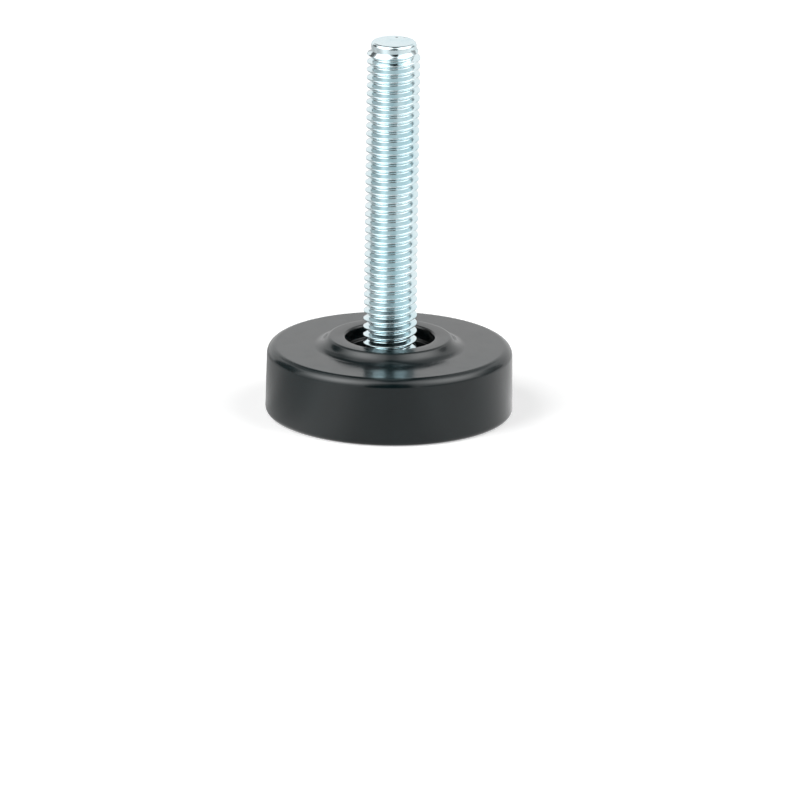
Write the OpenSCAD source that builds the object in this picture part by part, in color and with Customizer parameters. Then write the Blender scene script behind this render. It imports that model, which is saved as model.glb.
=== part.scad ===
// Levelling foot: a round moulded base with a ball socket, a swivel hub snapped into the
// socket, and a threaded stud through the hub. Millimetres, +Z up along the stud.
// The origin is in the middle of the rim's plane, where the foot stands.

/* [Base] */
// Outside diameter at the rim
base_d = 37; // [35:0.5:60]
// Height from the rim to the flat top
base_h = 10.3; // [10:0.1:14]
// How far the outside wall leans in from the rim to the top edge
wall_draft = 0.15; // [0:0.05:0.4]
// Wall thickness at the rim
wall_t = 2.2; // [1.6:0.1:2.6]
// Thickness of the flat top
roof_t = 2.2; // [1.6:0.1:3]
// Radius of the rounded top edge
top_edge_r = 1.4; // [0.5:0.1:2]
// Radius of the rounded outside edge of the rim
rim_edge_r = 0.8; // [0.3:0.1:1.2]
// Radius of the small edges of the moulding
small_edge_r = 0.25; // [0.1:0.05:0.4]
// Height above the rim of the step in the inside wall
step_z = 6.2; // [4:0.1:6.6]
// Width of the step in the inside wall
step_w = 0.8; // [0.4:0.1:1]
// Radius where the hollow's walls meet its roof
roof_fillet_r = 0.8; // [0.3:0.1:1]

/* [Collar] */
// Width of the collar from its opening to its outside
collar_w = 2.8; // [2.2:0.1:3]
// Height of the collar above the flat top
collar_h = 1.4; // [1.4:0.1:2.5]
// Radius of the collar's rounded outside edge
collar_edge_r = 1; // [0.3:0.1:1.1]
// Radius where the collar meets the flat top
collar_fillet_r = 0.3; // [0.1:0.05:0.4]
// Depth from the collar's face to the ledge round the socket's mouth
ledge_depth = 2; // [1.4:0.1:2.6]
// Width of the ledge round the socket's mouth
ledge_w = 0.7; // [0.3:0.05:0.8]
// Radius of the opening's rounded edge
opening_edge_r = 0.4; // [0.1:0.05:0.6]
// Radius of the edge that leads into the mouth
mouth_edge_r = 0.2; // [0.1:0.05:0.25]

/* [Socket] */
// Wall thickness between the socket and the boss's outside
boss_wall = 4.7; // [3:0.1:5]
// How far the boss stops short of the plane of the rim
boss_lift = 0.2; // [0.1:0.1:0.6]
// Thickness of the floor under the socket
floor_t = 1.1; // [0.8:0.1:1.4]
// Gap all round between the stud's shank and the hole in the floor
hole_clearance = 0.4; // [0.35:0.05:0.8]
// How far the mouth closes in over the ball on each side, so that the hub snaps in
snap_w = 0.6; // [0.3:0.05:0.6]

/* [Hub] */
// Diameter of the hub's ball
ball_d = 13; // [12.8:0.1:14]
// Height of the ball's centre above the socket's floor
ball_rise = 4.7; // [4.6:0.1:5]
// Room under the hub for it to tilt
tilt_room = 1; // [1:0.1:1.4]
// Height of the hub above the ball's centre
hub_up = 2.6; // [2.2:0.1:2.8]
// Gap all round between ball and socket
ball_clearance = 0.06; // [0.02:0.01:0.1]

/* [Stud] */
// Outside diameter of the metric thread
stud_d = 8; // [6:0.5:8]
// Thread pitch
pitch = 1.25; // [0.75:0.25:1.5]
// Length of the stud from end to end
stud_l = 56.4; // [30:0.1:120]
// Diameter of the plain shank inside the hub, which is the rolling size of the thread
shank_d = 7.2; // [5.4:0.1:7.4]
// How far the shank stands out below the hub
shank_below = 1.1; // [1:0.1:1.2]
// Chamfer on the shank's lower end
shank_chamfer = 0.45; // [0.2:0.05:0.8]
// Height of the thread's lower end above the hub
thread_gap = 0.7; // [0.2:0.1:1]
// Width of the groove that keeps the stud in the hub
groove_w = 1.6; // [1:0.1:2]
// Depth of that groove
groove_depth = 0.5; // [0.3:0.05:0.7]
// Length of the plain tip above the thread
tip_l = 1; // [0.8:0.1:2]
// How far the plain tip stands in from the thread's outside
tip_inset = 0.6; // [0.5:0.05:0.8]
// Radius of the tip's rounded edge
tip_edge_r = 0.5; // [0.2:0.1:0.7]
// Gap all round between stud and hub
stud_clearance = 0.05; // [0.02:0.01:0.1]

/* [Hidden] */
$fn = 96;
// Overlap that joins two outlines into one
joint = 0.01;
// Distance by which a cut runs past the surface that it opens
past = 1;

base_r = base_d / 2;
hollow_r = base_r - wall_t;
step_outer_r = hollow_r - wall_draft;
step_inner_r = step_outer_r - step_w;
roof_z = base_h - roof_t;
collar_top_z = base_h + collar_h;
ledge_z = collar_top_z - ledge_depth;
floor_top_z = boss_lift + floor_t;

ball_r = ball_d / 2;
ball_z = floor_top_z + ball_rise;
hub_down = ball_rise - tilt_room;
socket_r = ball_r + ball_clearance;
mouth_r = socket_r - snap_w;
opening_r = mouth_r + ledge_w;
collar_r = opening_r + collar_w;
boss_r = socket_r + boss_wall;

// Metric thread form: a 60 degree vee, cut flat at crest and root
stud_r = stud_d / 2;
thread_depth = 0.6134 * pitch;
crest_w = pitch / 8;
flank_w = thread_depth * tan(30);
root_w = pitch - crest_w - 2 * flank_w;
root_r = stud_r - thread_depth;

shank_r = shank_d / 2;
hole_r = shank_r + hole_clearance;
stud_z = ball_z - hub_down - shank_below;
stud_top_z = stud_z + stud_l;
tip_r = stud_r - tip_inset;
run_out_w = tip_inset * tan(30);
run_in_w = (stud_r - shank_r) * tan(30);
thread_start_z = ball_z + hub_up + thread_gap + run_in_w;
thread_l = stud_top_z - tip_l - run_out_w - crest_w - thread_start_z;
thread_turns = floor(thread_l / pitch);

// The outside wall leans in by this angle
lean = atan(wall_draft / base_h);

function wall_x(z) = base_r - wall_draft * z / base_h;

// Centre of a round edge of radius r that touches the leaning wall at about height z
function edge_centre(z, r) = [wall_x(z) - r / cos(lean), z];

// Point where that round edge meets the leaning wall
function edge_end(centre, r) = centre + r * [cos(lean), sin(lean)];

// Fills an inside corner at the origin, open to +X and +Y, with a concave fillet
module inside_fillet(r) {
    difference() {
        translate([-joint, -joint]) square(r + joint);
        translate([r, r]) circle(r);
    }
}

// What a round edge takes away from an outside corner at the origin, solid to -X and -Y
module outside_round(r) {
    difference() {
        translate([-r, -r]) square(r + joint);
        translate([-r, -r]) circle(r);
    }
}

// Outside outline of the base: leaning wall, round edges, collar on top
module base_outline() {
    top_centre = edge_centre(base_h - top_edge_r, top_edge_r);
    rim_centre = edge_centre(rim_edge_r, rim_edge_r);
    polygon([
        [0, boss_lift],
        [boss_r + past, boss_lift],
        [boss_r + past, 0],
        [rim_centre.x, 0],
        edge_end(rim_centre, rim_edge_r),
        edge_end(top_centre, top_edge_r),
        [top_centre.x, base_h],
        [0, base_h]
    ]);
    translate(rim_centre) circle(rim_edge_r);
    translate(top_centre) circle(top_edge_r);
    difference() {
        translate([0, base_h - joint]) square([collar_r, collar_h + joint]);
        translate([collar_r, collar_top_z]) outside_round(collar_edge_r);
    }
    translate([collar_r, base_h]) inside_fillet(collar_fillet_r);
}

// Ring-shaped hollow in the underside, with a step part way up its outside wall
module hollow_outline() {
    difference() {
        union() {
            polygon([
                [boss_r, -past],
                [hollow_r, -past],
                [hollow_r, small_edge_r],
                [step_outer_r, step_z],
                [boss_r, step_z]
            ]);
            translate([boss_r, 0]) square([step_inner_r - boss_r, roof_z]);
        }
        translate([boss_r, roof_z]) mirror([0, 1]) inside_fillet(roof_fillet_r);
        translate([step_inner_r, roof_z]) rotate(180) inside_fillet(roof_fillet_r);
    }
    translate([hollow_r, 0]) rotate(180) outside_round(small_edge_r);
    translate([step_inner_r, step_z]) rotate(180) outside_round(small_edge_r);
    translate([boss_r, boss_lift]) mirror([0, 1]) outside_round(small_edge_r);
}

// Space for the hub: the ball socket, its mouth, the opening above and the hole below
module socket_outline() {
    intersection() {
        translate([0, ball_z]) circle(socket_r);
        translate([0, floor_top_z]) square([socket_r + past, ledge_z - floor_top_z]);
    }
    translate([0, ball_z]) square([mouth_r, ledge_z - ball_z + past]);
    translate([0, ledge_z]) square([opening_r, ledge_depth + past]);
    translate([opening_r, collar_top_z]) mirror([1, 0]) outside_round(opening_edge_r);
    translate([mouth_r, ledge_z]) mirror([1, 0]) outside_round(mouth_edge_r);
    translate([0, boss_lift - past]) square([hole_r, floor_t + 2 * past]);
    translate([hole_r, boss_lift]) rotate(180) outside_round(small_edge_r);
}

// One moulding: cup, collar and socket boss
module base_cup() {
    color([0.16, 0.17, 0.175])
        rotate_extrude()
            difference() {
                base_outline();
                hollow_outline();
                socket_outline();
            }
}

// Ball with flat ends, held under the socket's mouth. A rib in its bore holds the stud.
module swivel_hub() {
    bore_r = shank_r + stud_clearance;
    rib_w = groove_w - 2 * stud_clearance;
    color([0.13, 0.135, 0.14])
        translate([0, 0, ball_z])
            rotate_extrude() {
                intersection() {
                    circle(ball_r);
                    translate([bore_r, -hub_down]) square([ball_r, hub_up + hub_down]);
                }
                translate([bore_r - groove_depth, -rib_w / 2]) square([groove_depth + joint, rib_w]);
            }
}

// Outline of the thread from its lower end: a crest, then a vee groove, for each turn
function thread_points() = [
    for (i = [0 : thread_turns - 1])
        let (z = thread_start_z + i * pitch)
        each [
            [stud_r, z],
            [stud_r, z + crest_w],
            [root_r, z + crest_w + flank_w],
            [root_r, z + crest_w + flank_w + root_w]
        ]
];

// Plated steel stud: plain grooved shank in the hub, thread, plain round tip
module threaded_stud() {
    last_crest_z = thread_start_z + thread_turns * pitch;
    tip_edge_z = stud_top_z - tip_edge_r;
    groove_r = shank_r - groove_depth;
    color([0.78, 0.86, 0.88])
        rotate_extrude() {
            polygon(concat(
                [
                    [0, stud_z],
                    [shank_r - shank_chamfer, stud_z],
                    [shank_r, stud_z + shank_chamfer],
                    [shank_r, ball_z - groove_w / 2],
                    [groove_r, ball_z - groove_w / 2],
                    [groove_r, ball_z + groove_w / 2],
                    [shank_r, ball_z + groove_w / 2],
                    [shank_r, thread_start_z - run_in_w]
                ],
                thread_points(),
                [
                    [stud_r, last_crest_z],
                    [stud_r, last_crest_z + crest_w],
                    [tip_r, last_crest_z + crest_w + run_out_w],
                    [tip_r, tip_edge_z],
                    [tip_r - tip_edge_r, stud_top_z],
                    [0, stud_top_z]
                ]
            ));
            translate([tip_r - tip_edge_r, tip_edge_z]) circle(tip_edge_r);
        }
}

base_cup();
swivel_hub();
threaded_stud();
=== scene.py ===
"""Looks of a levelling foot: its moulded base, the swivel hub and the rolled, zinc-plated stud.

Lengths are in metres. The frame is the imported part, with its origin in the middle of the rim's
plane and +Z up along the stud. Each piece is turned or rolled round that axis.
"""

import math

import bmesh
import bpy
from bpy.props import FloatProperty, FloatVectorProperty, IntProperty, PointerProperty
from mathutils import Matrix, Vector, noise


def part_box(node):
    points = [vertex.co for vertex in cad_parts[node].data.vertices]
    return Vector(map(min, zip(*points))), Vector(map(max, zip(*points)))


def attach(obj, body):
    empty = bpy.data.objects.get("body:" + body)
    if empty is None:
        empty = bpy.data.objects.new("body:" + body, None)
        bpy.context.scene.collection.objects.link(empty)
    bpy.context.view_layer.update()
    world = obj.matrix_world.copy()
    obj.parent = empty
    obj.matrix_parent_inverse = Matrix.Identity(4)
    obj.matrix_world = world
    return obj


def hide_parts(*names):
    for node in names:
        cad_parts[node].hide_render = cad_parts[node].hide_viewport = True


bl_info = {
    "name": "Levelling Foot",
    "version": (1, 0, 0),
    "blender": (4, 5, 0),
    "location": "View3D > Sidebar > Levelling Foot",
    "description": "Builds the looks of a levelling foot with a swivel stud",
    "category": "Add Mesh",
}

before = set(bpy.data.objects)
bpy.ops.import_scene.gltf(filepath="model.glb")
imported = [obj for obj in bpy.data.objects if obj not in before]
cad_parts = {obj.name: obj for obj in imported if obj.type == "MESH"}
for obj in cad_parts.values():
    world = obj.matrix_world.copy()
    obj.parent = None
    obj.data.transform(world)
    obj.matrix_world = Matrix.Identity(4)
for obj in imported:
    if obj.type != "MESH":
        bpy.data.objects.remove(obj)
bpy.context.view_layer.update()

MM = 0.001

# Metric thread form, as shares of the pitch
THREAD_DEPTH = 0.6134
THREAD_CREST = 0.125

# Nicks pressed into the tip, as (x, y, depth) in millimetres
NICKS = ((0.4, 1.95, 0.07), (1.6, 1.85, 0.05))

# Light of the world on the object, and glow that brings the lit floor up to white
WORLD_FILL = 0.12
FLOOR_LIFT = 0.45

# Softboxes, as (name, azimuth, elevation, radiance)
SOFTBOXES = (
    ("left softbox", -60, 45, 5.0),
    ("right softbox", 75, 46, 3.6),
)
SOFTBOX_DISTANCE = 1.5
SOFTBOX_WIDTH = 1.05

# Level cards over the object, as (name, left, right, front, back, brightness)
CEILING_CARDS = (
    ("dark ceiling", -0.13, 0.38, -0.3, 3.4, 0.1),
    ("grey front ceiling", -0.13, 0.38, -1.2, -0.3, 0.5),
    ("dark left ceiling", -0.42, -0.13, 0.8, 3.4, 0.12),
    ("dark back ceiling", -0.85, -0.42, 1.35, 3.4, 0.12),
    ("grey right ceiling", 0.38, 1.3, 0, 3.4, 0.6),
    ("grey left ceiling", -1.6, -0.85, 0.8, 3.4, 0.45),
)
CEILING_HEIGHT = 1.9

# Upright cards on the floor, as (name, left azimuth, right azimuth, height, brightness)
WALL_CARDS = (
    ("dark camera side", -22, 22, 3.4, 0.02),
    ("dark left side", -134, -98, 1.9, 0.13),
    ("grey right side", 95, 130, 1.7, 0.35),
    ("grey right front", 30, 92, 0.6, 0.5),
)
WALL_DISTANCE = 2.6

# Brightness of the floor as the object mirrors it, as (azimuth, brightness)
FLOOR_TONES = (
    (-180, 0.8),
    (-130, 0.5),
    (-105, 0.66),
    (-90, 0.55),
    (-70, 0.72),
    (-53, 1.15),
    (-38, 1.15),
    (-18, 0.76),
    (0, 0.68),
    (18, 0.72),
    (35, 0.92),
    (70, 0.94),
    (105, 1.08),
    (123, 0.9),
    (180, 0.8),
)

base_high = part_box("base_cup")[1]
hub_low, hub_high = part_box("swivel_hub")
stud_low, stud_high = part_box("threaded_stud")


def length(name, description, default, least, most):
    """A property that holds a length in metres."""
    return FloatProperty(
        name=name,
        description=description,
        default=default,
        min=least,
        max=most,
        precision=5,
        subtype="DISTANCE",
        unit="LENGTH",
    )


def count(name, description, default, least):
    """A property that holds a number of faces."""
    return IntProperty(name=name, description=description, default=default, min=least)


def colour(name, description, default):
    """A property that holds a colour as linear red, green and blue."""
    return FloatVectorProperty(
        name=name,
        description=description,
        default=default,
        size=3,
        min=0,
        max=1,
        subtype="COLOR",
    )


class BaseSizes(bpy.types.PropertyGroup):
    """Sizes of the moulded base"""

    rim_radius: length("Rim Radius", "Outside radius at the rim", base_high.x, 0.01, 0.05)
    flat_height: length("Flat Height", "Height of the flat top", 10.3 * MM, 0.005, 0.03)
    collar_height: length("Collar Height", "Height of the collar's face", base_high.z, 0.006, 0.04)
    wall_draft: length("Wall Draft", "How far the wall leans in over its height", 0.15 * MM, 0, 0.001)
    hollow_radius: length("Hollow Radius", "Inside radius at the rim", 16.3 * MM, 0.005, 0.05)
    step_height: length("Step Height", "Height of the step inside the wall", 6.2 * MM, 0.001, 0.03)
    step_width: length("Step Width", "Width of the step inside the wall", 0.8 * MM, 0.0001, 0.003)
    roof_height: length("Roof Height", "Height of the hollow's roof", 8.1 * MM, 0.001, 0.03)
    boss_radius: length("Boss Radius", "Outside radius of the socket boss", 11.26 * MM, 0.005, 0.03)
    boss_lift: length("Boss Lift", "Gap under the socket boss", 0.2 * MM, 0, 0.001)
    floor_height: length("Floor Height", "Top of the floor under the socket", 1.3 * MM, 0.0005, 0.01)
    hole_radius: length("Hole Radius", "Radius of the hole in that floor", 4 * MM, 0.001, 0.01)
    collar_radius: length("Collar Radius", "Outside radius of the collar", 9.46 * MM, 0.005, 0.03)
    opening_radius: length("Opening Radius", "Radius of the collar's opening", 6.66 * MM, 0.003, 0.02)
    ledge_height: length("Ledge Height", "Height of the ledge in the opening", 9.7 * MM, 0.001, 0.03)
    mouth_radius: length("Mouth Radius", "Radius of the socket's mouth", 5.96 * MM, 0.003, 0.02)
    socket_radius: length("Socket Radius", "Radius of the ball socket", 6.56 * MM, 0.003, 0.02)
    socket_centre: length("Socket Centre", "Height of the ball's centre", 6 * MM, 0.003, 0.02)
    rim_edge: length("Rim Edge", "Radius of the wall's lower edge", 0.8 * MM, 0, 0.003)
    top_edge: length("Top Edge", "Radius of the edge round the flat top", 1.4 * MM, 0, 0.003)
    flank_spread: length("Flank Spread", "How far the collar spreads at its foot", 0.85 * MM, 0, 0.003)
    flank_set_in: length("Flank Set In", "How far the collar draws in at its top", 0.3 * MM, 0, 0.003)
    collar_fillet: length("Collar Fillet", "Radius of the fillet at the collar's foot", 2.4 * MM, 0, 0.005)
    collar_edge: length("Collar Edge", "Radius of the collar's outside edge", 0.7 * MM, 0, 0.003)
    opening_edge: length("Opening Edge", "Radius of the edge round the opening", 0.4 * MM, 0, 0.003)
    mouth_edge: length("Mouth Edge", "Radius of the edge round the socket's mouth", 0.2 * MM, 0, 0.001)
    hollow_fillet: length("Hollow Fillet", "Radius of the fillets under the roof", 0.8 * MM, 0, 0.003)
    small_edge: length("Small Edge", "Radius of the edges on the underside", 0.25 * MM, 0, 0.001)
    inside_corner: length("Inside Corner", "Radius of the small inside corners", 0.1 * MM, 0, 0.001)


class StudSizes(bpy.types.PropertyGroup):
    """Sizes of the threaded stud and of the hub that holds it"""

    crest_radius: length("Crest Radius", "Outside radius of the thread", 4 * MM, 0.001, 0.02)
    pitch: length("Pitch", "Rise of the thread in one turn", 1.25 * MM, 0.0002, 0.005)
    crest_rounding: length("Crest Rounding", "Radius of the thread's crests", 0.06 * MM, 0, 0.001)
    root_rounding: length("Root Rounding", "Radius of the thread's roots", 0.178 * MM, 0, 0.001)
    thread_start: length("Thread Start", "Height of the thread over the hub", 0.5 * MM, 0, 0.005)
    shank_radius: length("Shank Radius", "Radius of the plain shank", 3.6 * MM, 0.001, 0.02)
    tip_length: length("Tip Length", "Length of the plain tip", 0.95 * MM, 0.0001, 0.01)
    tip_radius: length("Tip Radius", "Radius of the plain tip", 3.4 * MM, 0.001, 0.02)
    thread_turn: FloatProperty(
        name="Thread Turn",
        description="How far the thread is turned about the stud",
        default=math.radians(256),
        subtype="ANGLE",
    )
    tip_edge: length("Tip Edge", "Radius of the tip's rounded edge", 0.5 * MM, 0, 0.002)
    end_radius: length("End Radius", "Radius of the cropped lower end", 3.15 * MM, 0.001, 0.02)
    groove_width: length("Groove Width", "Width of the groove in the shank", 1.6 * MM, 0.0002, 0.005)
    groove_depth: length("Groove Depth", "Depth of the groove in the shank", 0.5 * MM, 0.0001, 0.002)
    ball_radius: length("Ball Radius", "Radius of the hub's ball", 6.5 * MM, 0.003, 0.02)
    bore_edge: length("Bore Edge", "Radius of the edges of the hub's bore", 0.15 * MM, 0, 0.001)
    clearance: length("Clearance", "Gap between stud and hub", 0.05 * MM, 0, 0.001)


class Fineness(bpy.types.PropertyGroup):
    """How finely the pieces are divided"""

    base_segments: count("Base Segments", "Faces round the base", 288, 24)
    thread_segments: count("Thread Segments", "Faces round the stud", 112, 24)
    edge_steps: count("Edge Steps", "Faces across a rounded edge", 7, 1)


class Finishes(bpy.types.PropertyGroup):
    """Colours of the materials"""

    plastic: colour("Plastic", "Black moulded plastic of the base", (0.0016, 0.0058, 0.0068))
    hub: colour("Hub", "Black plastic of the hub", (0.012, 0.012, 0.012))
    zinc: colour("Zinc", "Bright zinc plate", (0.74, 0.855, 0.885))
    zinc_shade: colour("Zinc Shade", "Deeper blue of the zinc plate", (0.62, 0.785, 0.83))
    cropped: colour("Cropped End", "Bare steel of the cropped end", (0.46, 0.52, 0.56))
    cropped_gold: colour("Cropped Gold", "Yellow tint of the cropped end", (0.50, 0.36, 0.20))
    cropped_blue: colour("Cropped Blue", "Blue tint of the cropped end", (0.22, 0.36, 0.58))
    floor: colour("Floor", "Pale floor", (0.8, 0.8, 0.8))


def turned_direction(start, angle):
    """A direction in an outline's plane, turned by an angle."""
    return Matrix.Rotation(angle, 2) @ start


def rounded_corner(before, here, after, radius, steps):
    """Points of the arc that rounds one corner of an outline."""
    back = (before - here).normalized()
    ahead = (after - here).normalized()
    half = back.angle(ahead) / 2
    centre = here + (back + ahead).normalized() * radius / math.sin(half)
    start = here + back * radius / math.tan(half) - centre
    end = here + ahead * radius / math.tan(half) - centre
    sweep = math.atan2(start.x * end.y - start.y * end.x, start.dot(end))
    return [centre + turned_direction(start, sweep * i / steps) for i in range(steps + 1)]


def rounded_outline(corners, steps):
    """Outline through corners given as (radius, height, edge radius). Its two ends stay sharp."""
    points = []
    for i, (x, z, edge) in enumerate(corners):
        here = Vector((x, z))
        if edge == 0:
            points.append(here)
            continue
        before = Vector(corners[i - 1][:2])
        after = Vector(corners[i + 1][:2])
        points += rounded_corner(before, here, after, edge, steps)
    return points


def ring(bm, point, segments):
    """A ring of vertices at one point (radius, height) of an outline."""
    turn = math.tau / segments
    return [
        bm.verts.new((point[0] * math.cos(i * turn), point[0] * math.sin(i * turn), point[1]))
        for i in range(segments)
    ]


def turn_outline(bm, outline, segments, closed=False):
    """Turns an outline round the axis. A closed outline joins its last ring to its first."""
    rings = [ring(bm, point, segments) for point in outline]
    pairs = list(zip(rings, rings[1:]))
    if closed:
        pairs.append((rings[-1], rings[0]))
    for low, high in pairs:
        for i in range(segments):
            j = (i + 1) % segments
            bm.faces.new((low[i], low[j], high[j], high[i]))


def finished_mesh(bm, name):
    """Joins vertices that meet, turns the faces outwards and shades them smooth."""
    bmesh.ops.remove_doubles(bm, verts=bm.verts, dist=0.0001 * MM)
    bmesh.ops.recalc_face_normals(bm, faces=bm.faces)
    mesh = bpy.data.meshes.new(name)
    bm.to_mesh(mesh)
    bm.free()
    mesh.shade_smooth()
    return mesh


def place(name, mesh, body, node, slot, *materials):
    """Puts a finished piece in the scene, in place of its node and on its body."""
    piece = bpy.data.objects.new(name, mesh)
    bpy.context.scene.collection.objects.link(piece)
    for material in materials:
        mesh.materials.append(material)
    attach(piece, body)
    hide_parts(node)
    return piece


def keep_flats_flat(piece):
    """Shades the flat faces of a moulding flat, right up to their rounded edges."""
    weighted = piece.modifiers.new("flat faces", "WEIGHTED_NORMAL")
    weighted.mode = "FACE_AREA"
    weighted.weight = 90


def base_corners(sizes):
    """Corners of the base's section, from the hole in its floor round to the socket."""
    draft = sizes.wall_draft
    step_outer = sizes.hollow_radius - draft
    step_inner = step_outer - sizes.step_width
    return [
        (sizes.hole_radius, sizes.boss_lift, 0),
        (sizes.boss_radius, sizes.boss_lift, sizes.small_edge),
        (sizes.boss_radius, sizes.roof_height, sizes.hollow_fillet),
        (step_inner, sizes.roof_height, sizes.hollow_fillet),
        (step_inner, sizes.step_height, sizes.small_edge),
        (step_outer, sizes.step_height, sizes.inside_corner),
        (sizes.hollow_radius, 0, sizes.small_edge),
        (sizes.rim_radius, 0, sizes.rim_edge),
        (sizes.rim_radius - draft, sizes.flat_height, sizes.top_edge),
        (sizes.collar_radius + sizes.flank_spread, sizes.flat_height, sizes.collar_fillet),
        (sizes.collar_radius - sizes.flank_set_in, sizes.collar_height, sizes.collar_edge),
        (sizes.opening_radius, sizes.collar_height, sizes.opening_edge),
        (sizes.opening_radius, sizes.ledge_height, sizes.inside_corner),
        (sizes.mouth_radius, sizes.ledge_height, sizes.mouth_edge),
    ]


def ball_arc(radius, centre, start, end, steps):
    """Points of a ball's outline between two elevations, with the ball's centre at a height."""
    angles = [start + (end - start) * i / steps for i in range(steps + 1)]
    return [Vector((math.cos(a) * radius, math.sin(a) * radius + centre)) for a in angles]


def socket_points(sizes, steps):
    """Points of the socket's wall, from its mouth down to its floor."""
    top = math.acos(sizes.mouth_radius / sizes.socket_radius)
    bottom = math.asin((sizes.floor_height - sizes.socket_centre) / sizes.socket_radius)
    return ball_arc(sizes.socket_radius, sizes.socket_centre, top, bottom, steps)


def base_mesh(sizes, fineness):
    """The base: cup, collar and socket boss in one moulding."""
    corners = base_corners(sizes)
    steps = fineness.edge_steps
    outline = rounded_outline([*corners, (sizes.mouth_radius, sizes.socket_centre, 0)], steps)[:-1]
    outline += socket_points(sizes, 4 * steps)
    outline.append(Vector((sizes.hole_radius, sizes.floor_height)))
    bm = bmesh.new()
    turn_outline(bm, outline, fineness.base_segments, closed=True)
    return finished_mesh(bm, "base moulding")


def hub_mesh(sizes, centre, fineness):
    """The hub: a ball with flat ends, a bore and a rib in it that holds the stud."""
    bore = sizes.shank_radius + sizes.clearance
    rib = bore - sizes.groove_depth
    half_rib = sizes.groove_width / 2 - sizes.clearance
    low, high = hub_low.z, hub_high.z
    top = math.asin((high - centre) / sizes.ball_radius)
    bottom = math.asin((low - centre) / sizes.ball_radius)
    outline = ball_arc(sizes.ball_radius, centre, bottom, top, 4 * fineness.edge_steps)
    outline += rounded_outline(
        [
            (sizes.ball_radius, high, 0),
            (bore, high, sizes.bore_edge),
            (bore, centre + half_rib, 0),
            (rib, centre + half_rib, 0),
            (rib, centre - half_rib, 0),
            (bore, centre - half_rib, 0),
            (bore, low, sizes.bore_edge),
            (sizes.ball_radius, low, 0),
        ],
        3,
    )[1:-1]
    bm = bmesh.new()
    turn_outline(bm, outline, fineness.base_segments // 2, closed=True)
    return finished_mesh(bm, "hub moulding")


def thread_profile(sizes):
    """One turn of the thread's outline, as (radius, share of the pitch), from root to root."""
    pitch = sizes.pitch
    depth = THREAD_DEPTH * pitch
    crest = THREAD_CREST * pitch
    flank = depth * math.tan(math.radians(30))
    root = pitch - crest - 2 * flank
    low = sizes.crest_radius - depth
    high = sizes.crest_radius
    corners = [
        (low, 0, 0),
        (low, root / 2, sizes.root_rounding),
        (high, root / 2 + flank, sizes.crest_rounding),
        (high, root / 2 + flank + crest, sizes.crest_rounding),
        (low, root / 2 + 2 * flank + crest, sizes.root_rounding),
        (low, pitch, 0),
    ]
    outline = rounded_outline(corners, 4)
    return [(point.x, point.y / pitch) for point in outline[:-1]]


def thread_limits(height, low, high, sizes):
    """Least and greatest radius of the thread at a height, as it runs out at both ends."""
    run_out_turns = 0.9
    crest_lead = 1.2
    root = sizes.crest_radius - THREAD_DEPTH * sizes.pitch
    run_in = min(1, max(0, (height - low) / sizes.pitch))
    run_out = min(1, max(0, (high - height) / (run_out_turns * sizes.pitch)))
    if run_in < 1:
        end, share = sizes.shank_radius, run_in
    else:
        end, share = sizes.tip_radius, run_out
    least = end + (root - end) * share
    most = end + (sizes.crest_radius - end) * min(1, crest_lead * share)
    return least, most


def roll_thread(bm, low, high, sizes, segments):
    """Rolls the right-hand thread between two heights, as columns that climb with the helix."""
    profile = thread_profile(sizes)
    turns = math.ceil((high - low) / sizes.pitch) + 3
    start = low - sizes.pitch * (1 + sizes.thread_turn / math.tau)
    columns = []
    for i in range(segments):
        angle = math.tau * i / segments
        column = []
        for turn in range(turns):
            for radius, share in profile:
                height = start + (turn + share + i / segments) * sizes.pitch
                height = min(high, max(low, height))
                least, most = thread_limits(height, low, high, sizes)
                radius = min(most, max(least, radius))
                point = (radius * math.cos(angle), radius * math.sin(angle), height)
                column.append(bm.verts.new(point))
        columns.append(column)
    columns.append(columns[0][len(profile):])
    for here, there in zip(columns, columns[1:]):
        for k in range(min(len(here), len(there)) - 1):
            bm.faces.new((here[k], there[k], there[k + 1], here[k + 1]))


def lower_end_outline(sizes, thread_low, centre):
    """Outline of the stud from its cropped end, over the grooved shank, to the thread."""
    groove = sizes.shank_radius - sizes.groove_depth
    half = sizes.groove_width / 2
    chamfer = sizes.shank_radius - sizes.end_radius
    rings = 14
    end = [(sizes.end_radius * i / rings, stud_low.z, 0) for i in range(rings)]
    return rounded_outline(
        [
            *end,
            (sizes.end_radius, stud_low.z, 0.08 * MM),
            (sizes.shank_radius, stud_low.z + chamfer, 0.1 * MM),
            (sizes.shank_radius, centre - half, 0),
            (groove, centre - half, 0),
            (groove, centre + half, 0),
            (sizes.shank_radius, centre + half, 0),
            (sizes.shank_radius, thread_low, 0),
        ],
        4,
    )


def tip_outline(sizes, thread_high):
    """Outline of the plain tip, from the thread over its round edge to the middle."""
    top = stud_high.z
    flat = sizes.tip_radius - sizes.tip_edge
    rings = 20
    end = [(flat * (1 - i / rings), top, 0) for i in range(1, rings + 1)]
    outline = [
        (sizes.tip_radius, thread_high, 0),
        (sizes.tip_radius, top, sizes.tip_edge),
        *end,
    ]
    return rounded_outline(outline, 8)


def nick_tip(bm):
    """Presses small nicks into the flat end of the tip, as handling leaves them."""
    nick_radius = 0.3 * MM
    for x, y, depth in NICKS:
        middle = Vector((x * MM, y * MM))
        for vertex in bm.verts:
            if vertex.co.z > stud_high.z - 0.01 * MM:
                away = (vertex.co.xy - middle).length / nick_radius
                vertex.co.z -= depth * MM * math.exp(-away * away)


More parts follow.
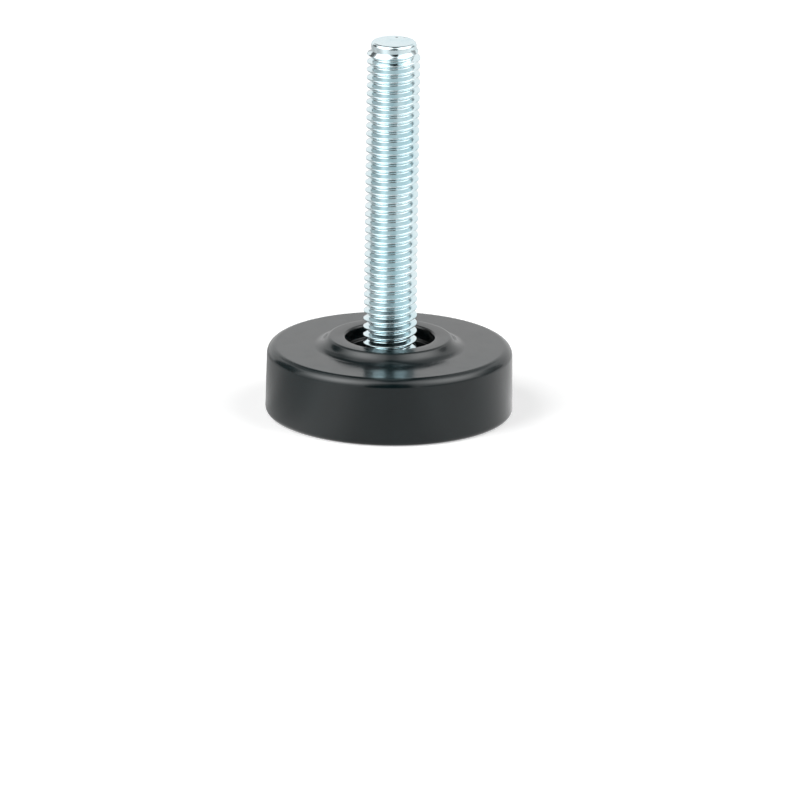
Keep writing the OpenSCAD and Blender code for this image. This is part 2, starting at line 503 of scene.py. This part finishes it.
def rough_crop(bm, sizes):
    """Tears the cropped end a little, as shears leave it. All of it stays above the end's plane."""
    for vertex in bm.verts:
        radius = math.hypot(vertex.co.x, vertex.co.y)
        if vertex.co.z < stud_low.z + 0.01 * MM and radius < 0.97 * sizes.end_radius:
            coarse = 0.1 * noise.noise(vertex.co * 900 + Vector((3.1, 0.4, 0)))
            fine = 0.05 * noise.noise(vertex.co * 3200)
            fade = min(1, 4 * (1 - radius / sizes.end_radius))
            vertex.co.z += fade * MM * (0.09 + coarse + fine)


def stud_mesh(sizes, centre, fineness):
    """The stud: cropped end, grooved shank, right-hand thread and plain round tip."""
    thread_low = hub_high.z + sizes.thread_start
    thread_high = stud_high.z - sizes.tip_length
    segments = fineness.thread_segments
    bm = bmesh.new()
    turn_outline(bm, lower_end_outline(sizes, thread_low, centre), segments)
    roll_thread(bm, thread_low, thread_high, sizes, segments)
    turn_outline(bm, tip_outline(sizes, thread_high), segments)
    rough_crop(bm, sizes)
    nick_tip(bm)
    mesh = finished_mesh(bm, "rolled stud")
    for face in mesh.polygons:
        if face.center.z < stud_low.z + 0.25 * MM and face.normal.z < -0.4:
            face.material_index = 1
    return mesh


def add_node(tree, kind, **settings):
    """Adds a shader node with its settings."""
    node = tree.nodes.new(kind)
    for name, value in settings.items():
        setattr(node, name, value)
    return node


def new_material(name):
    """A node material with its tree, its main shader and its object coordinates."""
    material = bpy.data.materials.new(name)
    material.use_nodes = True
    tree = material.node_tree
    shader = tree.nodes["Principled BSDF"]
    coordinates = add_node(tree, "ShaderNodeTexCoord")
    return material, tree, shader, coordinates.outputs["Object"]


def noise_map(tree, coordinates, scale, detail=3, roughness=0.55):
    """A noise pattern with this many features in a metre."""
    pattern = add_node(tree, "ShaderNodeTexNoise")
    pattern.inputs["Scale"].default_value = scale
    pattern.inputs["Detail"].default_value = detail
    pattern.inputs["Roughness"].default_value = roughness
    tree.links.new(coordinates, pattern.inputs["Vector"])
    return pattern.outputs["Fac"]


def spread(tree, value, low, high, from_low=0.3, from_high=0.7):
    """Maps a pattern onto the values from low to high."""
    mapped = add_node(tree, "ShaderNodeMapRange")
    mapped.inputs["From Min"].default_value = from_low
    mapped.inputs["From Max"].default_value = from_high
    mapped.inputs["To Min"].default_value = low
    mapped.inputs["To Max"].default_value = high
    tree.links.new(value, mapped.inputs["Value"])
    return mapped.outputs["Result"]


def blend_colours(tree, value, first, second):
    """Mixes two colours by a pattern."""
    ramp = add_node(tree, "ShaderNodeValToRGB")
    ramp.color_ramp.elements[0].position = 0.35
    ramp.color_ramp.elements[0].color = (*first, 1)
    ramp.color_ramp.elements[1].position = 0.65
    ramp.color_ramp.elements[1].color = (*second, 1)
    tree.links.new(value, ramp.inputs["Fac"])
    return ramp.outputs["Color"]


def bump(tree, height, distance, strength, normal=None):
    """A bump of this depth in metres, on top of an earlier one where given."""
    raised = add_node(tree, "ShaderNodeBump")
    raised.inputs["Distance"].default_value = distance
    raised.inputs["Strength"].default_value = strength
    tree.links.new(height, raised.inputs["Height"])
    if normal is not None:
        tree.links.new(normal, raised.inputs["Normal"])
    return raised.outputs["Normal"]


def scaled(tree, coordinates, scale):
    """Object coordinates stretched by a scale for each axis."""
    mapping = add_node(tree, "ShaderNodeMapping")
    mapping.inputs["Scale"].default_value = scale
    tree.links.new(coordinates, mapping.inputs["Vector"])
    return mapping.outputs["Vector"]


def moulded_plastic(name, tone, smoothest, roughest):
    """Black plastic with the fine grain of its mould and faint flow marks."""
    material, tree, shader, coordinates = new_material(name)
    link = tree.links.new
    pale = [min(1, 1.5 * part) for part in tone]
    clouds = noise_map(tree, coordinates, 120)
    link(blend_colours(tree, clouds, tone, pale), shader.inputs["Base Color"])
    patches = noise_map(tree, coordinates, 420, detail=4)
    link(spread(tree, patches, smoothest, roughest), shader.inputs["Roughness"])
    waves = bump(tree, noise_map(tree, coordinates, 90, detail=2), 0.00004, 0.05)
    grain = noise_map(tree, coordinates, 5200, detail=2)
    link(bump(tree, grain, 0.000008, 0.2, waves), shader.inputs["Normal"])
    shader.inputs["IOR"].default_value = 1.5
    return material


def zinc_plate(finishes):
    """Bright zinc plate with a blue passivation that varies, and fine rolling marks."""
    material, tree, shader, coordinates = new_material("zinc plate")
    link = tree.links.new
    clouds = noise_map(tree, scaled(tree, coordinates, (1, 1, 0.4)), 260, detail=4)
    link(blend_colours(tree, clouds, finishes.zinc_shade, finishes.zinc), shader.inputs["Base Color"])
    patches = noise_map(tree, coordinates, 900, detail=4)
    link(spread(tree, patches, 0.10, 0.18), shader.inputs["Roughness"])
    marks = noise_map(tree, scaled(tree, coordinates, (1, 1, 9)), 700, detail=3)
    rolled = bump(tree, marks, 0.00001, 0.18)
    pits = noise_map(tree, coordinates, 3800, detail=2)
    link(bump(tree, pits, 0.000006, 0.2, rolled), shader.inputs["Normal"])
    shader.inputs["Metallic"].default_value = 1
    return material


def cropped_steel(finishes):
    """Sheared end of the stud, where thin plating shows yellow and blue."""
    material, tree, shader, coordinates = new_material("cropped end")
    link = tree.links.new
    tints = noise_map(tree, coordinates, 650, detail=4)
    ramp = add_node(tree, "ShaderNodeValToRGB")
    ramp.color_ramp.elements[0].position = 0.36
    ramp.color_ramp.elements[0].color = (*finishes.cropped_gold, 1)
    ramp.color_ramp.elements[1].position = 0.64
    ramp.color_ramp.elements[1].color = (*finishes.cropped_blue, 1)
    middle = ramp.color_ramp.elements.new(0.5)
    middle.color = (*finishes.cropped, 1)
    link(tints, ramp.inputs["Fac"])
    link(ramp.outputs["Color"], shader.inputs["Base Color"])
    link(spread(tree, noise_map(tree, coordinates, 2400), 0.22, 0.5), shader.inputs["Roughness"])
    torn = noise_map(tree, coordinates, 1800, detail=5, roughness=0.7)
    link(bump(tree, torn, 0.00012, 0.7), shader.inputs["Normal"])
    shader.inputs["Metallic"].default_value = 1
    return material


class LEVELLINGFOOT_OT_base(bpy.types.Operator):
    """Build the moulded base with its collar and socket boss"""

    bl_idname = "levelling_foot.base"
    bl_label = "Moulded Base"

    def execute(self, context):
        scene = context.scene
        mesh = base_mesh(scene.foot_base, scene.foot_fineness)
        plastic = moulded_plastic("base plastic", scene.foot_finishes.plastic, 0.15, 0.22)
        piece = place("base_moulding", mesh, "base", "base_cup", "base_plastic", plastic)
        keep_flats_flat(piece)
        return {"FINISHED"}


class LEVELLINGFOOT_OT_hub(bpy.types.Operator):
    """Build the swivel hub that sits in the base's socket"""

    bl_idname = "levelling_foot.hub"
    bl_label = "Swivel Hub"

    def execute(self, context):
        scene = context.scene
        mesh = hub_mesh(scene.foot_stud, scene.foot_base.socket_centre, scene.foot_fineness)
        plastic = moulded_plastic("hub plastic", scene.foot_finishes.hub, 0.4, 0.55)
        piece = place("hub_moulding", mesh, "hub", "swivel_hub", "hub_plastic", plastic)
        keep_flats_flat(piece)
        return {"FINISHED"}


class LEVELLINGFOOT_OT_stud(bpy.types.Operator):
    """Build the zinc-plated stud with its right-hand thread"""

    bl_idname = "levelling_foot.stud"
    bl_label = "Threaded Stud"

    def execute(self, context):
        scene = context.scene
        finishes = scene.foot_finishes
        mesh = stud_mesh(scene.foot_stud, scene.foot_base.socket_centre, scene.foot_fineness)
        materials = (zinc_plate(finishes), cropped_steel(finishes))
        piece = place("rolled_stud", mesh, "stud", "threaded_stud", "zinc_plate", *materials)
        keep_flats_flat(piece)
        return {"FINISHED"}


def white_to_the_eye(tree):
    """Light path value that is 1 for what the camera, a mirror or glass shows."""
    path = add_node(tree, "ShaderNodeLightPath")
    seen = add_node(tree, "ShaderNodeMath", operation="MAXIMUM")
    tree.links.new(path.outputs["Is Camera Ray"], seen.inputs[0])
    tree.links.new(path.outputs["Is Glossy Ray"], seen.inputs[1])
    shown = add_node(tree, "ShaderNodeMath", operation="MAXIMUM")
    tree.links.new(seen.outputs[0], shown.inputs[0])
    tree.links.new(path.outputs["Is Transmission Ray"], shown.inputs[1])
    return shown.outputs[0]


def white_world(scene):
    """A white backdrop that lights the object only with a soft fill."""
    world = bpy.data.worlds.new("studio")
    scene.world = world
    world.use_nodes = True
    tree = world.node_tree
    background = tree.nodes["Background"]
    background.inputs["Color"].default_value = (1, 1, 1, 1)
    strength = add_node(tree, "ShaderNodeMapRange")
    strength.inputs["To Min"].default_value = WORLD_FILL
    strength.inputs["To Max"].default_value = 1
    tree.links.new(white_to_the_eye(tree), strength.inputs["Value"])
    tree.links.new(strength.outputs["Result"], background.inputs["Strength"])


def floor_material(tone):
    """Pale floor that shows white and keeps the object's shadow. From below it isn't seen."""
    material = bpy.data.materials.new("pale floor")
    material.use_nodes = True
    tree = material.node_tree
    link = tree.links.new
    tree.nodes.remove(tree.nodes["Principled BSDF"])
    matt = add_node(tree, "ShaderNodeBsdfDiffuse")
    matt.inputs["Color"].default_value = (*tone, 1)
    glow = add_node(tree, "ShaderNodeEmission")
    lift = add_node(tree, "ShaderNodeMath", operation="MULTIPLY")
    lift.inputs[1].default_value = FLOOR_LIFT
    link(white_to_the_eye(tree), lift.inputs[0])
    link(lift.outputs[0], glow.inputs["Strength"])
    lit = add_node(tree, "ShaderNodeAddShader")
    link(matt.outputs["BSDF"], lit.inputs[0])
    link(glow.outputs["Emission"], lit.inputs[1])
    clear = add_node(tree, "ShaderNodeBsdfTransparent")
    side = add_node(tree, "ShaderNodeNewGeometry")
    shown = add_node(tree, "ShaderNodeMixShader")
    link(side.outputs["Backfacing"], shown.inputs["Fac"])
    link(lit.outputs["Shader"], shown.inputs[1])
    link(clear.outputs["BSDF"], shown.inputs[2])
    link(shown.outputs["Shader"], tree.nodes["Material Output"].inputs["Surface"])
    return material


def lay_floor(scene, tone):
    """A wide round floor, a hair below the rim so that the two planes don't meet."""
    bm = bmesh.new()
    bmesh.ops.create_circle(bm, cap_ends=True, segments=96, radius=3)
    mesh = bpy.data.meshes.new("floor")
    bm.to_mesh(mesh)
    bm.free()
    mesh.materials.append(floor_material(tone))
    floor = bpy.data.objects.new("floor", mesh)
    floor.location.z = -0.02 * MM
    scene.collection.objects.link(floor)


def direction(azimuth, elevation):
    """Unit vector towards a place round the object. Azimuth 0 is the camera's side, 90 is +X."""
    a = math.radians(azimuth)
    e = math.radians(elevation)
    return Vector((math.sin(a) * math.cos(e), -math.cos(a) * math.cos(e), math.sin(e)))


def aim(item, place_at, target):
    """Puts an object at a place and points its -Z at the target."""
    item.location = place_at
    item.rotation_mode = "QUATERNION"
    item.rotation_quaternion = (target - place_at).to_track_quat("-Z", "Y")


def softbox(scene, name, azimuth, elevation, radiance):
    """A square studio light aimed at the object, with the glow that the object mirrors of it."""
    light = bpy.data.lights.new(name, "AREA")
    light.shape = "SQUARE"
    light.size = SOFTBOX_WIDTH
    light.energy = radiance * math.pi * SOFTBOX_WIDTH * SOFTBOX_WIDTH
    lamp = bpy.data.objects.new(name, light)
    scene.collection.objects.link(lamp)
    target = Vector((0, 0, 0.02))
    aim(lamp, target + direction(azimuth, elevation) * SOFTBOX_DISTANCE, target)
    lamp.visible_camera = False
    lamp.visible_glossy = False
    softbox_glow(scene, name + " glow", lamp, 0.6 * SOFTBOX_WIDTH, 0.9 * radiance)


def card(scene, name, corners, material):
    """A card through four corners that shows only in the object's own reflections."""
    mesh = bpy.data.meshes.new(name)
    mesh.from_pydata(corners, [], [(0, 1, 2, 3)])
    mesh.materials.append(material)
    panel = bpy.data.objects.new(name, mesh)
    scene.collection.objects.link(panel)
    panel.visible_camera = False
    panel.visible_diffuse = False
    panel.visible_transmission = False
    panel.visible_volume_scatter = False
    panel.visible_shadow = False
    return panel


def card_material(name, brightness):
    """An even grey for a card, with the material's tree and its glow."""
    material = bpy.data.materials.new(name)
    material.use_nodes = True
    tree = material.node_tree
    tree.nodes.remove(tree.nodes["Principled BSDF"])
    glow = add_node(tree, "ShaderNodeEmission")
    glow.inputs["Strength"].default_value = brightness
    tree.links.new(glow.outputs["Emission"], tree.nodes["Material Output"].inputs["Surface"])
    return material, tree, glow


def softbox_glow(scene, name, lamp, half_width, brightness):
    """A round glow in a softbox's place, half as bright this far from its middle."""
    material, tree, glow = card_material(name, brightness)
    link = tree.links.new
    coordinates = add_node(tree, "ShaderNodeTexCoord")
    away = add_node(tree, "ShaderNodeVectorMath", operation="LENGTH")
    link(coordinates.outputs["Object"], away.inputs[0])
    share = add_node(tree, "ShaderNodeMath", operation="DIVIDE")
    share.inputs[1].default_value = half_width
    link(away.outputs["Value"], share.inputs[0])
    squared = add_node(tree, "ShaderNodeMath", operation="POWER")
    squared.inputs[1].default_value = 2
    link(share.outputs[0], squared.inputs[0])
    fading = add_node(tree, "ShaderNodeMath", operation="POWER")
    fading.inputs[0].default_value = 0.5
    link(squared.outputs[0], fading.inputs[1])
    strength = add_node(tree, "ShaderNodeMath", operation="MULTIPLY")
    strength.inputs[1].default_value = brightness
    link(fading.outputs[0], strength.inputs[0])
    link(strength.outputs[0], glow.inputs["Strength"])
    clear = add_node(tree, "ShaderNodeBsdfTransparent")
    both = add_node(tree, "ShaderNodeAddShader")
    link(glow.outputs["Emission"], both.inputs[0])
    link(clear.outputs["BSDF"], both.inputs[1])
    link(both.outputs["Shader"], tree.nodes["Material Output"].inputs["Surface"])
    edge = 2.5 * half_width
    corners = [(-edge, -edge, 0), (edge, -edge, 0), (edge, edge, 0), (-edge, edge, 0)]
    panel = card(scene, name, corners, material)
    panel.rotation_mode = "QUATERNION"
    panel.rotation_quaternion = lamp.rotation_quaternion
    panel.location = lamp.location


def wall_card(scene, name, left, right, height, brightness):
    """An upright card on the floor between two azimuths."""
    a, b = (direction(azimuth, 0) * WALL_DISTANCE for azimuth in (left, right))
    up = Vector((0, 0, height))
    material, _, _ = card_material(name, brightness)
    card(scene, name, [a, b, b + up, a + up], material)


def ceiling_card(scene, name, left, right, front, back, brightness):
    """A level card over the object, between two places on X and two on Y."""
    places = ((left, front), (right, front), (right, back), (left, back))
    corners = [(x, y, CEILING_HEIGHT) for x, y in places]
    material, _, _ = card_material(name, brightness)
    card(scene, name, corners, material)


def floor_card(scene):
    """A card on the floor that gives its tone for each direction."""
    material, tree, glow = card_material("floor card", 1)
    link = tree.links.new
    coordinates = add_node(tree, "ShaderNodeTexCoord")
    split = add_node(tree, "ShaderNodeSeparateXYZ")
    link(coordinates.outputs["Object"], split.inputs[0])
    ahead = add_node(tree, "ShaderNodeMath", operation="MULTIPLY")
    ahead.inputs[1].default_value = -1
    link(split.outputs["Y"], ahead.inputs[0])
    angle = add_node(tree, "ShaderNodeMath", operation="ARCTAN2")
    link(split.outputs["X"], angle.inputs[0])
    link(ahead.outputs[0], angle.inputs[1])
    ramp = add_node(tree, "ShaderNodeValToRGB")
    stops = ramp.color_ramp.elements
    brightest = 2
    for i, (azimuth, tone) in enumerate(FLOOR_TONES):
        if i == 0:
            stop = stops[0]
        elif i == len(FLOOR_TONES) - 1:
            stop = stops[-1]
        else:
            stop = stops.new((azimuth + 180) / 360)
        stop.color = (*[tone / brightest] * 3, 1)
    link(spread(tree, angle.outputs[0], 0, 1, -math.pi, math.pi), ramp.inputs["Fac"])
    brightness = add_node(tree, "ShaderNodeMath", operation="MULTIPLY")
    brightness.inputs[1].default_value = brightest
    link(ramp.outputs["Color"], brightness.inputs[0])
    link(brightness.outputs[0], glow.inputs["Strength"])
    side, front = 0.8, -1
    corners = [(-side, front, 0), (side, front, 0), (side, side, 0), (-side, side, 0)]
    card(scene, "floor card", corners, material)


def place_camera(scene):
    """A long lens from the photograph's height, framed as the photograph is."""
    elevation, distance, lens = 17.0, 4.985, 1500.0
    right_shift, up_shift = 1.65 * MM, 1.63 * MM
    roll = math.radians(0.8)
    camera = bpy.data.cameras.new("camera")
    camera.lens = lens
    camera.clip_end = 20
    viewer = bpy.data.objects.new("camera", camera)
    scene.collection.objects.link(viewer)
    back = direction(0, elevation)
    up = direction(180, 90 - elevation)
    target = Vector((1, 0, 0)) * right_shift + up * up_shift
    aim(viewer, target + back * distance, target)
    level = viewer.rotation_quaternion.copy()
    viewer.rotation_quaternion = level @ Matrix.Rotation(roll, 3, "Z").to_quaternion()
    scene.camera = viewer


class LEVELLINGFOOT_OT_stage(bpy.types.Operator):
    """Set up the pale floor, the studio lights, the reflector cards and the camera"""

    bl_idname = "levelling_foot.stage"
    bl_label = "Studio Stage"

    def execute(self, context):
        scene = context.scene
        scene.view_settings.view_transform = "Standard"
        white_world(scene)
        lay_floor(scene, scene.foot_finishes.floor)
        for settings in SOFTBOXES:
            softbox(scene, *settings)
        for settings in CEILING_CARDS:
            ceiling_card(scene, *settings)
        for settings in WALL_CARDS:
            wall_card(scene, *settings)
        floor_card(scene)
        place_camera(scene)
        return {"FINISHED"}


OPERATORS = (
    LEVELLINGFOOT_OT_base,
    LEVELLINGFOOT_OT_hub,
    LEVELLINGFOOT_OT_stud,
    LEVELLINGFOOT_OT_stage,
)


GROUPS = {
    "foot_base": BaseSizes,
    "foot_stud": StudSizes,
    "foot_fineness": Fineness,
    "foot_finishes": Finishes,
}


class LEVELLINGFOOT_PT_panel(bpy.types.Panel):
    """Sidebar panel with the foot's pieces, sizes and finishes"""

    bl_label = "Levelling Foot"
    bl_idname = "LEVELLINGFOOT_PT_panel"
    bl_space_type = "VIEW_3D"
    bl_region_type = "UI"
    bl_category = "Levelling Foot"

    def draw(self, context):
        layout = self.layout
        for group_name in GROUPS:
            column = layout.column(align=True)
            group = getattr(context.scene, group_name)
            for name in group.bl_rna.properties.keys():
                if name not in ("rna_type", "name"):
                    column.prop(group, name)
        for operator in OPERATORS:
            layout.operator(operator.bl_idname)


def register():
    """Registers the properties, operators and panel."""
    for name, group in GROUPS.items():
        bpy.utils.register_class(group)
        setattr(bpy.types.Scene, name, PointerProperty(type=group))
    for operator in OPERATORS:
        bpy.utils.register_class(operator)
    bpy.utils.register_class(LEVELLINGFOOT_PT_panel)


def unregister():
    """Takes them away again, in the other order."""
    bpy.utils.unregister_class(LEVELLINGFOOT_PT_panel)
    for operator in reversed(OPERATORS):
        bpy.utils.unregister_class(operator)
    for name, group in reversed(GROUPS.items()):
        delattr(bpy.types.Scene, name)
        bpy.utils.unregister_class(group)


def main():
    """Builds the pieces and the stage."""
    register()
    bpy.ops.levelling_foot.base()
    bpy.ops.levelling_foot.hub()
    bpy.ops.levelling_foot.stud()
    bpy.ops.levelling_foot.stage()


if __name__ == "__main__":
    main()
